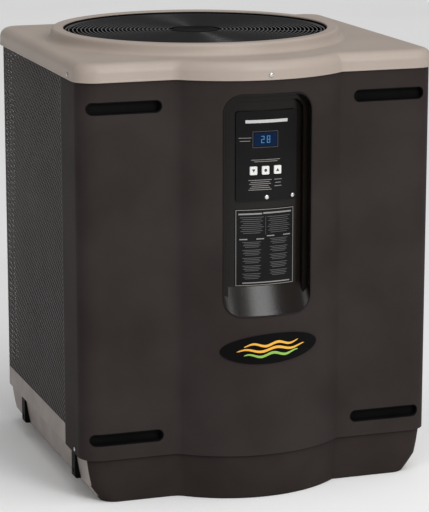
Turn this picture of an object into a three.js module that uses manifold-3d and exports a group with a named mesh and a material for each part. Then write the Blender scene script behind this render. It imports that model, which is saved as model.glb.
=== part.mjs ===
// A free-standing swimming-pool heat pump: beige fan cover, dark cabinet with a curved front,
// coil guards on two sides, moulded base and the refrigeration parts inside. Millimetres, +Z up, front at -Y,
// origin on the ground under the middle of the cabinet.
import * as THREE from 'three';
import { mergeVertices } from 'three/addons/utils/BufferGeometryUtils.js';
import Module from 'manifold-3d';

const wasm = await Module();
wasm.setup();

// ---- driving dimensions -------------------------------------------------------------------------
const WIDTH = 850;
const DEPTH = 750;
const CORNER = 48;
const WALL = 4;
const GAP = 0.5;
const BASE_TOP = 104;
const DECK = 64;
const PANEL_TOP = 984;
const COVER_SKIRT = 971;
const COVER_DECK = 1014;
const COLLAR_TOP = 1040;

const FRONT = -DEPTH / 2;
const HALF = WIDTH / 2;
const BULGE = { x: -5, y: -147, r: 300 };
const CREASE_FILLET = 40;
const FAN = { x: -31, y: 8, opening: 314, tip: 292 };

const LEFT_WRAP_END = -218;
const RIGHT_WRAP_END = -315;
const BACK_SPLIT = 300;

const BAY = { x0: -110, x1: 104, z0: 430, z1: 940, corner: 44 };
const BAY_FLOOR = 271;
const PLATE = { x0: -75, x1: 70, z0: 693, z1: 898, corner: 6 };
const WINDOW = { x0: -34, x1: 19, z0: 819, z1: 849, corner: 3 };
const LABEL = { x0: -75, x1: 65, z0: 498, z1: 675, corner: 3 };
const BUTTONS = { xs: [-36, -8, 21], z: 764, w: 17, h: 19 };
const BADGE = { x: 1, z: 356, halfWidth: 118, halfHeight: 35, tilt: 0.035 };

const SLOT = { length: 174, height: 29, depth: 21 };
const SLOT_CENTRES = [
  { name: 'upper_left', x: -321, z: 913 },
  { name: 'upper_right', x: 311, z: 913 },
  { name: 'lower_left', x: -321, z: 153 },
  { name: 'lower_right', x: 311, z: 153 },
];

// ---- solids and meshes --------------------------------------------------------------------------
function signedVolume(points, faces) {
  let sum = 0;
  const [a, b, c] = [new THREE.Vector3(), new THREE.Vector3(), new THREE.Vector3()];
  for (let i = 0; i < faces.length; i += 3) {
    a.fromArray(points, 3 * faces[i]);
    b.fromArray(points, 3 * faces[i + 1]);
    c.fromArray(points, 3 * faces[i + 2]);
    sum += a.dot(b.cross(c)) / 6;
  }
  return sum;
}

// A closed geometry as a boolean solid, with its faces turned outward.
function solid(geometry) {
  const bare = new THREE.BufferGeometry();
  bare.setAttribute('position', geometry.getAttribute('position'));
  bare.setIndex(geometry.index);
  const merged = mergeVertices(bare, 1e-3);
  const points = merged.getAttribute('position').array;
  const faces = [];
  const index = merged.index.array;
  for (let i = 0; i < index.length; i += 3) {
    const [p, q, r] = [index[i], index[i + 1], index[i + 2]];
    if (p !== q && q !== r && r !== p) faces.push(p, q, r);
  }
  if (signedVolume(points, faces) < 0) faces.reverse();
  return new wasm.Manifold(new wasm.Mesh({
    numProp: 3,
    vertProperties: new Float32Array(points),
    triVerts: new Uint32Array(faces),
  }));
}

function geometryOf(manifold) {
  const mesh = manifold.getMesh();
  const geometry = new THREE.BufferGeometry();
  geometry.setAttribute('position', new THREE.BufferAttribute(new Float32Array(mesh.vertProperties), 3));
  geometry.setIndex(new THREE.BufferAttribute(new Uint32Array(mesh.triVerts), 1));
  geometry.computeVertexNormals();
  return geometry;
}

const UP_TO_X = new THREE.Matrix4().makeBasis(
  new THREE.Vector3(0, 1, 0), new THREE.Vector3(0, 0, 1), new THREE.Vector3(1, 0, 0));

function extruded(outline, depth) {
  const shape = outline instanceof THREE.Shape ? outline : new THREE.Shape(outline);
  return new THREE.ExtrudeGeometry(shape, { depth, bevelEnabled: false, steps: 1, curveSegments: 5 });
}

// An outline in X and Y raised from z0 to z1.
function prismZ(outline, z0, z1) {
  return solid(extruded(outline, z1 - z0).translate(0, 0, z0));
}

// An outline in X and Z run from y0 to y1.
function prismY(outline, y0, y1) {
  return solid(extruded(outline, y1 - y0).rotateX(Math.PI / 2).translate(0, y1, 0));
}

// An outline in Y and Z run from x0 to x1.
function prismX(outline, x0, x1) {
  return solid(extruded(outline, x1 - x0).applyMatrix4(UP_TO_X).translate(x0, 0, 0));
}

function box(x0, x1, y0, y1, z0, z1) {
  const geometry = new THREE.BoxGeometry(x1 - x0, y1 - y0, z1 - z0);
  return solid(geometry.translate((x0 + x1) / 2, (y0 + y1) / 2, (z0 + z1) / 2));
}

// A turned solid on a vertical axis; the profile holds [radius, height] pairs.
function turned(profile, x, y, segments = 32) {
  const points = profile.map(([r, z]) => new THREE.Vector2(r, z));
  return solid(new THREE.LatheGeometry(points, segments).rotateX(Math.PI / 2).translate(x, y, 0));
}

function drumZ(r, x, y, z0, z1, segments = 32) {
  return turned([[0, z0], [r, z0], [r, z1], [0, z1]], x, y, segments);
}

// A cylinder from one point towards a direction.
function rod(start, direction, length, radius, segments = 16) {
  const axis = new THREE.Vector3(...direction).normalize();
  const turn = new THREE.Quaternion().setFromUnitVectors(new THREE.Vector3(0, 1, 0), axis);
  const geometry = new THREE.CylinderGeometry(radius, radius, length, segments);
  geometry.translate(0, length / 2, 0).applyQuaternion(turn).translate(...start);
  return solid(geometry);
}

// A round bar along a smooth route.
function tube(route, radius, steps = 16, sides = 6) {
  const curve = new THREE.CatmullRomCurve3(route.map((p) => new THREE.Vector3(...p)), false, 'centripetal');
  const section = new THREE.Shape(arc(0, 0, radius, 0, 2 * Math.PI, sides).slice(0, -1));
  return solid(new THREE.ExtrudeGeometry(section, { steps, bevelEnabled: false, extrudePath: curve }));
}

function roundedRect({ x0, x1, z0, z1, corner }, grow = 0) {
  const r = Math.max(corner + grow, 0.5);
  const [l, b, t, e] = [x0 - grow, z0 - grow, z1 + grow, x1 + grow];
  const shape = new THREE.Shape();
  shape.moveTo(l + r, b);
  shape.lineTo(e - r, b);
  shape.absarc(e - r, b + r, r, -Math.PI / 2, 0);
  shape.lineTo(e, t - r);
  shape.absarc(e - r, t - r, r, 0, Math.PI / 2);
  shape.lineTo(l + r, t);
  shape.absarc(l + r, t - r, r, Math.PI / 2, Math.PI);
  shape.lineTo(l, b + r);
  shape.absarc(l + r, b + r, r, Math.PI, 1.5 * Math.PI);
  return shape;
}

// ---- the cabinet's plan outline -----------------------------------------------------------------
function arc(x, y, r, from, to, steps) {
  const points = [];
  for (let i = 0; i <= steps; i += 1) {
    const angle = from + ((to - from) * i) / steps;
    points.push(new THREE.Vector2(x + r * Math.cos(angle), y + r * Math.sin(angle)));
  }
  return points;
}

const wingReach = BULGE.y - FRONT;
const filletX = BULGE.x - Math.sqrt((BULGE.r + CREASE_FILLET) ** 2 - (wingReach + CREASE_FILLET) ** 2);
const filletY = FRONT - CREASE_FILLET;
const filletTurn = Math.atan2(BULGE.y - filletY, BULGE.x - filletX);

// Plan outline of the cabinet, moved outward by grow, with both sides drawn in by pinch.
function cabinetOutline(grow, pinch = 0) {
  const r = BULGE.r + grow;
  const reach = wingReach + grow;
  const creaseAngle = -Math.atan2(reach, Math.sqrt(r * r - reach * reach));
  const cornerX = HALF - CORNER - pinch;
  const cornerY = DEPTH / 2 - CORNER;
  const radius = CORNER + grow;
  return [
    ...arc(BULGE.x, BULGE.y, r, filletTurn - Math.PI, creaseAngle, 16),
    ...arc(cornerX, -cornerY, radius, -Math.PI / 2, 0, 5),
    ...arc(cornerX, cornerY, radius, 0, Math.PI / 2, 5),
    ...arc(-cornerX, cornerY, radius, Math.PI / 2, Math.PI, 5),
    ...arc(-cornerX, -cornerY, radius, Math.PI, 1.5 * Math.PI, 5),
    ...arc(filletX, filletY, CREASE_FILLET - grow, Math.PI / 2, filletTurn, 3).slice(0, -1),
  ];
}

// A solid lofted through stacked outlines with equal numbers of points.
function loft(levels) {
  const count = levels[0].outline.length;
  const positions = [];
  for (const { z, outline } of levels) {
    for (const p of outline) positions.push(p.x, p.y, z);
  }
  const faces = [];
  for (let level = 0; level < levels.length - 1; level += 1) {
    for (let i = 0; i < count; i += 1) {
      const next = (i + 1) % count;
      const [a, b] = [level * count + i, level * count + next];
      faces.push(a, b, b + count, a, b + count, a + count);
    }
  }
  const top = (levels.length - 1) * count;
  for (const [a, b, c] of THREE.ShapeUtils.triangulateShape(levels[0].outline, [])) faces.push(a, c, b);
  for (const [a, b, c] of THREE.ShapeUtils.triangulateShape(levels.at(-1).outline, [])) {
    faces.push(top + a, top + b, top + c);
  }
  const geometry = new THREE.BufferGeometry();
  geometry.setAttribute('position', new THREE.Float32BufferAttribute(positions, 3));
  geometry.setIndex(faces);
  return solid(geometry);
}

function cabinetBlock(grow, z0, z1) {
  return loft([{ z: z0, outline: cabinetOutline(grow) }, { z: z1, outline: cabinetOutline(grow) }]);
}

// A solid sector of the front bulge, out to the given radius.
function bulgeDrum(r, z0, z1) {
  const rim = arc(BULGE.x, BULGE.y, r, -2.3, -0.84, 20);
  return prismZ([new THREE.Vector2(BULGE.x, BULGE.y), ...rim], z0, z1);
}

// A plate that follows the bulge between two radii.
function curvedPlate(shape, inner, outer) {
  const band = bulgeDrum(outer, 300, 960).subtract(bulgeDrum(inner, 290, 970));
  return prismY(shape, BULGE.y - outer - 5, BULGE.y - 150).intersect(band);
}

function bulgeFront(x, r) {
  return BULGE.y - Math.sqrt(r * r - (x - BULGE.x) ** 2);
}

// ---- materials ----------------------------------------------------------------------------------
function finish(color, roughness, metalness = 0) {
  return new THREE.MeshStandardMaterial({ color, roughness, metalness });
}

const paint = {
  beige: finish(0xb1a296, 0.45),
  brown: finish(0x2f2827, 0.5),
  black: finish(0x141312, 0.4),
  base: finish(0x332a28, 0.55),
  guard: finish(0x242120, 0.55),
  galvanised: finish(0x9a9c9e, 0.45, 0.8),
  aluminium: finish(0xb4b6b8, 0.4, 0.8),
  copper: finish(0xb06a44, 0.35, 0.9),
  steel: finish(0xa5a6a8, 0.3, 0.9),
  blackPaint: finish(0x1b1b1c, 0.45, 0.2),
  white: finish(0xdcdcd8, 0.45),
  lens: finish(0x14233f, 0.12),
  rubber: finish(0x1a1a1a, 0.85),
  label: finish(0x1d1b1b, 0.5),
};

const cabinet = new THREE.Group();

function add(name, manifold, material) {
  const mesh = new THREE.Mesh(geometryOf(manifold), material);
  mesh.name = name;
  cabinet.add(mesh);
}

// ---- screws -------------------------------------------------------------------------------------
const SCREW = { head: 5, headHeight: 2.2, shank: 2, hole: 2.5, length: 5.5 };

function along(start, direction, distance) {
  return start.map((value, i) => value + direction[i] * distance);
}

function screw(seat, outward) {
  const inward = outward.map((value) => -value);
  const head = rod(along(seat, outward, 0.3), outward, SCREW.headHeight, SCREW.head, 12);
  return head.add(rod(along(seat, outward, 1), inward, SCREW.length, SCREW.shank, 8));
}

function screwHole(seat, outward) {
  const inward = outward.map((value) => -value);
  return rod(along(seat, outward, 6), inward, 22, SCREW.hole, 8);
}

function bulgeSeat(x, r, z) {
  const y = bulgeFront(x, r);
  return { seat: [x, y, z], outward: [(x - BULGE.x) / r, (y - BULGE.y) / r, 0] };
}

const screws = {
  cover_screw_front: bulgeSeat(BULGE.x, BULGE.r + 6, COVER_SKIRT + 12),
  cover_screw_left: { seat: [-HALF - 6, -299, COVER_SKIRT + 12], outward: [-1, 0, 0] },
  cover_screw_right: { seat: [HALF + 6, -299, COVER_SKIRT + 12], outward: [1, 0, 0] },
  wrap_screw: { seat: [-HALF, -300, 116], outward: [-1, 0, 0] },
  service_panel_screw_upper: { seat: [HALF, -290, 930], outward: [1, 0, 0] },
  service_panel_screw_lower: { seat: [HALF, -290, 140], outward: [1, 0, 0] },
  control_plate_screw_centre: bulgeSeat(-4, 277, 702),
  control_plate_screw_right: bulgeSeat(60, 277, 702),
};

for (const [name, { seat, outward }] of Object.entries(screws)) {
  add(name, screw(seat, outward), paint.steel);
}

function drilled(manifold, names) {
  const holes = names.map((name) => screwHole(screws[name].seat, screws[name].outward));
  return holes.reduce((rest, hole) => rest.subtract(hole), manifold);
}

// ---- base pan and hold-down brackets ------------------------------------------------------------
// Height, inward offset of the whole outline, and extra inward draw of the two sides.
const BASE_LEVELS = [
  { z: 0, inset: 12, pinch: 37 },
  { z: 20, inset: 9, pinch: 24 },
  { z: 40, inset: 7, pinch: 12 },
  { z: 75, inset: 7, pinch: 5 },
  { z: BASE_TOP, inset: 7, pinch: 1 },
];

function baseBlock(thickness) {
  return loft(BASE_LEVELS.map(({ z, inset, pinch }) => ({
    z: z === BASE_TOP && thickness > 0 ? z + 1 : z,
    outline: cabinetOutline(-inset - thickness, pinch),
  })));
}

function basePan() {
  const tray = baseBlock(5).intersect(box(-500, 500, -500, 500, DECK, 200));
  let pan = baseBlock(0).subtract(tray);
  for (const side of [-1, 1]) {
    for (const end of [-1, 1]) {
      const xs = [side * 60, side * 345].sort((a, b) => a - b);
      const ys = [end * 60, end * 325].sort((a, b) => a - b);
      pan = pan.subtract(box(...xs, ...ys, -1, DECK - 6));
    }
  }
  return pan.subtract(drumZ(12, 0, 250, DECK - 10, DECK + 10)).subtract(drumZ(12.5, 0, 250, -1, DECK + 1));
}
add('base_pan', basePan(), paint.base);

function drainFitting() {
  return turned([[8, 20], [11.5, 20], [11.5, DECK + 0.4], [18, DECK + 0.4], [18, DECK + 3.5],
    [8, DECK + 3.5], [8, 20]], 0, 250, 16);
}
add('condensate_drain', drainFitting(), paint.black);

// A short hold-down lug that hangs beside a side wall, for a tie-down strap or anchor clip.
const LUG = { inner: 401, outer: 421, halfWidth: 14, bottom: 40, corner: 5 };

function holdDown(side, y) {
  const outline = roundedRect({
    x0: side > 0 ? LUG.inner : -LUG.outer,
    x1: side > 0 ? LUG.outer : -LUG.inner,
    z0: LUG.bottom,
    z1: BASE_TOP,
    corner: LUG.corner,
  });
  const block = prismY(outline, y - LUG.halfWidth, y + LUG.halfWidth).subtract(baseBlock(-GAP));
  return block.subtract(rod([side * 380, y, LUG.bottom + 16], [side, 0, 0], 60, 5, 12));
}

for (const [end, y] of [['front', -270], ['rear', 200]]) {
  add(`hold_down_${end}_left`, holdDown(-1, y), paint.black);
  add(`hold_down_${end}_right`, holdDown(1, y), paint.black);
}

// ---- outer panels -------------------------------------------------------------------------------
const PANEL_BASE = BASE_TOP + GAP;

function wallBand(thickness, recess = 0) {
  return cabinetBlock(-recess, PANEL_BASE, PANEL_TOP)
    .subtract(cabinetBlock(-recess - thickness, PANEL_BASE - 5, PANEL_TOP + 5));
}

function slotShape(centre, grow) {
  return roundedRect({
    x0: centre.x - SLOT.length / 2,
    x1: centre.x + SLOT.length / 2,
    z0: centre.z - SLOT.height / 2,
    z1: centre.z + SLOT.height / 2,
    corner: SLOT.height / 2 - 0.5,
  }, grow);
}

function frontShell() {
  const leftRegion = box(-500, 0, -500, LEFT_WRAP_END, 50, 1000);
  const region = leftRegion.add(box(-1, 500, -500, RIGHT_WRAP_END, 50, 1000));
  let shell = wallBand(WALL).intersect(region);
  for (const centre of SLOT_CENTRES) shell = shell.subtract(prismY(slotShape(centre, 0), -390, -340));
  shell = shell.subtract(prismY(roundedRect(BAY), -480, -380));
  return drilled(shell, ['wrap_screw']);
}
add('front_shell', frontShell(), paint.brown);

function slotLiner(centre) {
  const back = FRONT + SLOT.depth;
  const cup = prismY(slotShape(centre, -GAP), FRONT - 5, back);
  const hollow = prismY(slotShape(centre, -GAP - 1.6), FRONT - 8, back - 2);
  return cup.subtract(hollow).intersect(cabinetBlock(-0.6, 60, 1000));
}
for (const centre of SLOT_CENTRES) add(`slot_liner_${centre.name}`, slotLiner(centre), paint.black);

const PORTS = [
  { name: 'inlet', y: 120, z: 250 },
  { name: 'outlet', y: 120, z: 420 },
];
const PORT_RADIUS = 30;
const GLAND = { y: -180, z: 330, radius: 13 };

function servicePanel() {
  const region = box(BACK_SPLIT + GAP, 500, RIGHT_WRAP_END + GAP, 500, 50, 1000);
  let panel = wallBand(WALL).intersect(region);
  for (const port of PORTS) {
    panel = panel.subtract(rod([300, port.y, port.z], [1, 0, 0], 200, PORT_RADIUS + 3, 24));
  }
  panel = panel.subtract(rod([300, GLAND.y, GLAND.z], [1, 0, 0], 200, GLAND.radius + 0.6, 16));
  return drilled(panel, ['service_panel_screw_upper', 'service_panel_screw_lower']);
}
add('service_panel', servicePanel(), paint.brown);

// ---- coil guards --------------------------------------------------------------------------------
const GUARD = { thickness: 3, recess: 2, rows: 7, rowPitch: 115, window: 102, firstRow: 146 };

function guardWindows(count, start, end, cutter) {
  const pitch = (end - start) / count;
  const bar = 9;
  const cuts = [];
  for (let column = 0; column < count; column += 1) {
    for (let row = 0; row < GUARD.rows; row += 1) {
      const z = GUARD.firstRow + row * GUARD.rowPitch;
      cuts.push(cutter(start + column * pitch + bar / 2, start + (column + 1) * pitch - bar / 2, z));
    }
  }
  return wasm.Manifold.union(cuts);
}

function leftCoilGuard() {
  const region = box(-500, -BACK_SPLIT, LEFT_WRAP_END + GAP, 500, 50, 1000);
  const sheet = wallBand(GUARD.thickness, GUARD.recess).intersect(region);
  const cuts = guardWindows(6, -200, 322, (a, b, z) => box(-440, -400, a, b, z, z + GUARD.window));
  return sheet.subtract(cuts);
}
add('left_coil_guard', leftCoilGuard(), paint.guard);

function rearCoilGuard() {
  const region = box(-BACK_SPLIT + GAP, BACK_SPLIT, 300, 500, 50, 1000);
  const sheet = wallBand(GUARD.thickness, GUARD.recess).intersect(region);
  const cuts = guardWindows(7, -290, 290, (a, b, z) => box(a, b, 360, 390, z, z + GUARD.window));
  return sheet.subtract(cuts);
}
add('rear_coil_guard', rearCoilGuard(), paint.guard);

// ---- top cover and fan --------------------------------------------------------------------------
const SHROUD_BOTTOM = 936;

function topCover() {
  const outer = loft([
    { z: COVER_SKIRT, outline: cabinetOutline(6) },
    { z: 996, outline: cabinetOutline(6) },
    { z: 1004, outline: cabinetOutline(3) },
    { z: 1011, outline: cabinetOutline(-6) },
    { z: COVER_DECK, outline: cabinetOutline(-20) },
  ]);
  const inner = loft([
    { z: COVER_SKIRT - 2, outline: cabinetOutline(1.5) },
    { z: 995, outline: cabinetOutline(1.5) },
    { z: 1001, outline: cabinetOutline(-3) },
    { z: COVER_DECK - 5, outline: cabinetOutline(-20) },
  ]);
  const bore = FAN.opening;
  const opening = drumZ(bore + 38, FAN.x, FAN.y, 900, 1100, 48);
  const collar = turned([
    [bore + 39, COVER_DECK - 4], [bore + 44, COVER_DECK + 1], [bore + 35, COVER_DECK + 8],
    [bore + 28, COLLAR_TOP - 4], [bore + 23, COLLAR_TOP], [bore + 3, COLLAR_TOP], [bore, COLLAR_TOP - 3],
    [bore, SHROUD_BOTTOM], [bore + 3, SHROUD_BOTTOM], [bore + 4, COLLAR_TOP - 6],
    [bore + 23, COLLAR_TOP - 7], [bore + 39, COVER_DECK - 4],
  ], FAN.x, FAN.y, 48);
  const hood = outer.subtract(inner).subtract(opening).add(collar);
  return drilled(hood, ['cover_screw_front', 'cover_screw_left', 'cover_screw_right']);
}
add('top_cover', topCover(), paint.beige);

const GUARD_PLATE = { radius: 60, z0: 1025.8, z1: 1030 };
const GUARD_RINGS = { count: 4, first: 124, last: FAN.opening - 3.1 };

function fanGuard() {
  let guard = drumZ(GUARD_PLATE.radius, FAN.x, FAN.y, GUARD_PLATE.z0, GUARD_PLATE.z1, 32);
  const pitch = (GUARD_RINGS.last - GUARD_RINGS.first) / (GUARD_RINGS.count - 1);
  for (let ring = 0; ring < GUARD_RINGS.count; ring += 1) {
    const r = GUARD_RINGS.first + ring * pitch;
    guard = guard.add(turned([[r - 3, 1028], [r, 1028], [r, 1033], [r - 3, 1033], [r - 3, 1028]],
      FAN.x, FAN.y, 28));
  }
  for (let spoke = 0; spoke < 4; spoke += 1) {
    const bar = new THREE.BoxGeometry(2 * GUARD_RINGS.last, 5, 3.5).rotateZ((Math.PI * spoke) / 4 + 0.3);
    guard = guard.add(solid(bar.translate(FAN.x, FAN.y, 1026.8)));
  }
  return guard;
}
add('fan_guard', fanGuard(), paint.black);

function fanMotor() {
  const profile = [[0, SHROUD_BOTTOM], [52, SHROUD_BOTTOM], [66, 944], [66, 1012], [58, 1020], [0, 1024.5]];
  const body = turned(profile, FAN.x, FAN.y, 28);
  return body.subtract(drumZ(7, FAN.x, FAN.y, 930, 960, 16));
}
add('fan_motor', fanMotor(), paint.blackPaint);

function fanShaft() {
  return drumZ(6.5, FAN.x, FAN.y, 880, 956, 16);
}
add('fan_shaft', fanShaft(), paint.steel);

function fanImpeller() {
  let wheel = turned([[7, 884], [48, 884], [52, 888], [52, 930], [44, 930], [44, 892], [7, 892], [7, 884]],
    FAN.x, FAN.y, 28);
  const pitch = 0.42;
  for (let blade = 0; blade < 4; blade += 1) {
    const angle = (Math.PI * blade) / 2;
    const outline = new THREE.Shape([
      new THREE.Vector2(48, -34), new THREE.Vector2(170, -68), new THREE.Vector2(FAN.tip - 22, -92),
      new THREE.Vector2(FAN.tip - 10, 0), new THREE.Vector2(FAN.tip - 34, 62), new THREE.Vector2(160, 44),
      new THREE.Vector2(48, 30),
    ]);
    const geometry = new THREE.ExtrudeGeometry(outline, { depth: 3, bevelEnabled: false });
    geometry.rotateX(pitch).rotateZ(angle).translate(FAN.x, FAN.y, 906);
    wheel = wheel.add(solid(geometry));
  }
  const hubHollow = drumZ(43.5, FAN.x, FAN.y, 892.5, 960, 28);
  const shaftBore = drumZ(6.8, FAN.x, FAN.y, 870, 960, 16);
  return wheel.subtract(hubHollow).subtract(shaftBore);
}
add('fan_impeller', fanImpeller(), paint.black);

// ---- control bay --------------------------------------------------------------------------------
function controlTub() {
  const body = curvedPlate(roundedRect(BAY, -GAP), BAY_FLOOR - 3, 301.5);
  const flange = curvedPlate(roundedRect(BAY, 9), 291.5, 295.2);
  const hollow = curvedPlate(roundedRect(BAY, -GAP - 3), BAY_FLOOR, 312);
  const sillOutline = [[-400, 497], [BULGE.y - BAY_FLOOR, 497], [BULGE.y - 298, 438], [BULGE.y - 298, 431],
    [-400, 431]].map(([y, z]) => new THREE.Vector2(y, z));
  const sillBand = curvedPlate(roundedRect(BAY, -GAP - 2.5), BAY_FLOOR - 2, 299);
  const sill = prismX(sillOutline, -140, 140).intersect(sillBand);
  return body.add(flange).subtract(hollow).add(sill);
}
add('control_tub', controlTub(), paint.brown);

function buttonOpening(x, clearance) {
  return roundedRect({
    x0: x - BUTTONS.w / 2,
    x1: x + BUTTONS.w / 2,
    z0: BUTTONS.z - BUTTONS.h / 2,
    z1: BUTTONS.z + BUTTONS.h / 2,
    corner: 2,
  }, clearance);
}

function controlPlate() {
  let plate = curvedPlate(roundedRect(PLATE), BAY_FLOOR + GAP, 277);
  for (const x of BUTTONS.xs) plate = plate.subtract(prismY(buttonOpening(x, 0.6), -460, -400));
  plate = plate.subtract(prismY(roundedRect(WINDOW, 0.4), -460, -400));
  return drilled(plate, ['control_plate_screw_centre', 'control_plate_screw_right']);
}
add('control_plate', controlPlate(), paint.label);
add('display_window', curvedPlate(roundedRect(WINDOW), BAY_FLOOR + GAP, 277.4), paint.lens);
add('instruction_plate', curvedPlate(roundedRect(LABEL), BAY_FLOOR + GAP, 273.5), paint.label);

const BUTTON_NAMES = ['button_down', 'button_mode', 'button_up'];
BUTTON_NAMES.forEach((name, i) => {
  const face = bulgeFront(BUTTONS.xs[i], 280);
  add(name, prismY(buttonOpening(BUTTONS.xs[i], 0), face, face + 5.5), paint.white);
});

function badge() {
  const shape = new THREE.Shape();
  shape.absellipse(BADGE.x, BADGE.z, BADGE.halfWidth, BADGE.halfHeight, 0, 2 * Math.PI, false, BADGE.tilt);
  const points = shape.getPoints(12).slice(0, -1);
  return curvedPlate(new THREE.Shape(points), 300.3, 303);
}
add('front_badge', badge(), paint.black);

// ---- frame --------------------------------------------------------------------------------------
const POSTS = [
  { name: 'front_left', x: -390, y: -345, sx: 1, sy: 1 },
  { name: 'front_right', x: 390, y: -345, sx: -1, sy: 1 },
  { name: 'rear_right', x: 390, y: 345, sx: -1, sy: -1 },
  { name: 'rear_left', x: -360, y: 316, sx: 1, sy: -1 },
];

function cornerPost({ x, y, sx, sy }) {
  const [leg, t] = [28, 2];
  const outline = [[0, 0], [leg, 0], [leg, t], [t, t], [t, leg], [0, leg]]
    .map(([u, v]) => new THREE.Vector2(x + sx * u, y + sy * v));
  return prismZ(outline, DECK + GAP, PANEL_TOP - 2);
}
for (const post of POSTS) add(`corner_post_${post.name}`, cornerPost(post), paint.galvanised);

// ---- evaporator coil ----------------------------------------------------------------------------
function evaporatorCoil() {
  const [outerX, outerY, depth, radius] = [-402, 358, 34, 40];
  const outline = [
    new THREE.Vector2(290, outerY),
    ...arc(outerX + radius, outerY - radius, radius, Math.PI / 2, Math.PI, 6),
    new THREE.Vector2(outerX, -300),
    new THREE.Vector2(outerX + depth, -300),
    ...arc(outerX + radius, outerY - radius, radius - depth, Math.PI, Math.PI / 2, 3),
    new THREE.Vector2(290, outerY - depth),
  ];
  return prismZ(outline, DECK + GAP, 932);
}
add('evaporator_coil', evaporatorCoil(), paint.aluminium);

// ---- compressor ---------------------------------------------------------------------------------
const COMPRESSOR = { x: 215, y: -120, r: 88, foot: 105 };

function compressor() {
  const { x, y, r, foot } = COMPRESSOR;
  const shell = turned([[0, 92], [r - 14, 92], [r, 108], [r, 400], [r - 20, 432], [0, 446]], x, y, 28);
  return shell.add(box(x - foot, x + foot, y - foot, y + foot, 89, 93));
}
add('compressor', compressor(), paint.blackPaint);

for (const [name, sx, sy] of [['front_left', -1, -1], ['front_right', 1, -1], ['rear_left', -1, 1],
  ['rear_right', 1, 1]]) {
  const grommet = drumZ(14, COMPRESSOR.x + sx * 88, COMPRESSOR.y + sy * 88, DECK + 0.4, 88.6, 14);
  add(`compressor_grommet_${name}`, grommet, paint.rubber);
}

// ---- water heat exchanger, unions and their nuts ------------------------------------------------
const EXCHANGER = { x: 215, y: 120, r: 88 };

function heatExchanger() {
  const { x, y, r } = EXCHANGER;
  const profile = [[0, DECK + 0.4], [r - 6, DECK + 0.4], [r, 76], [r, 560], [r - 30, 596], [0, 606]];
  let tank = turned(profile, x, y, 28);
  for (const port of PORTS) tank = tank.add(rod([x, port.y, port.z], [1, 0, 0], 190, PORT_RADIUS - 5, 24));
  return tank;
}
add('heat_exchanger', heatExchanger(), paint.black);

// A union tailpiece: a sleeve over the exchanger's stub, with a collar that its nut draws up.
for (const port of PORTS) {
  const ring = (inner, outer, x0, x1) => rod([x0, port.y, port.z], [1, 0, 0], x1 - x0, outer, 24)
    .subtract(rod([x0 - 1, port.y, port.z], [1, 0, 0], x1 - x0 + 2, inner, 24));
  const sleeve = ring(PORT_RADIUS - 4.6, PORT_RADIUS, 380, 478);
  add(`water_${port.name}_union`, sleeve, paint.black);
  let nut = ring(PORT_RADIUS + 0.6, PORT_RADIUS + 12, 432, 462);
  for (let rib = 0; rib < 8; rib += 1) {
    const angle = (Math.PI * rib) / 4;
    const start = [432, port.y + 42 * Math.cos(angle), port.z + 42 * Math.sin(angle)];
    nut = nut.add(rod(start, [1, 0, 0], 30, 4, 8));
  }
  add(`union_nut_${port.name}`, nut, paint.black);
}

// ---- refrigerant parts --------------------------------------------------------------------------
add('accumulator', turned([[0, DECK + 0.4], [46, 70], [50, 80], [50, 330], [30, 352], [0, 356]], 40, -60, 24),
  paint.blackPaint);
add('filter_drier', turned([[0, 180], [8, 182], [24, 200], [24, 290], [8, 308], [0, 310]], 60, 120, 18),
  paint.copper);
add('suction_line', tube([[40, -60, 358], [40, -60, 480], [90, -75, 545], [160, -100, 545], [190, -112, 500],
  [190, -112, 446.8]], 11), paint.copper);
add('discharge_line', tube([[240, -130, 443], [240, -130, 560], [232, -60, 650], [220, 40, 670],
  [215, 110, 650], [215, 120, 608]], 8), paint.copper);
add('liquid_line', tube([[60, 120, 312], [60, 120, 420], [10, 150, 500], [-60, 220, 540], [-70, 290, 540],
  [-70, 323.4, 540]], 6), paint.copper);

// ---- electrical parts ---------------------------------------------------------------------------
const ELECTRIC = { x0: -160, x1: 150, y0: -350, y1: -250, z0: 450, z1: 850 };

function electricalBox() {
  const { x0, x1, y0, y1, z0, z1 } = ELECTRIC;
  return box(x0, x1, y0, y1, z0, z1).subtract(box(x0 + 2, x1 - 2, y0 - 1, y1 - 2, z0 + 2, z1 - 2));
}
add('electrical_box', electricalBox(), paint.galvanised);
add('contactor', box(-120, -50, -310, -252.5, 520, 600), paint.black);
add('run_capacitor', drumZ(26, 40, -285, 500, 620, 20), paint.aluminium);
add('control_board', box(-110, 110, -256, -252.5, 640, 820), paint.label);

function conduitGland() {
  const { y, z, radius } = GLAND;
  const body = rod([404, y, z], [1, 0, 0], 36, radius, 16)
    .add(rod([HALF + GAP, y, z], [1, 0, 0], 9, radius + 6, 6));
  return body.subtract(rod([400, y, z], [1, 0, 0], 60, 8, 12));
}
add('conduit_gland', conduitGland(), paint.black);

export default cabinet;
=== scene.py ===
import math

import bmesh
import bpy
from mathutils import Matrix, Vector


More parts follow.
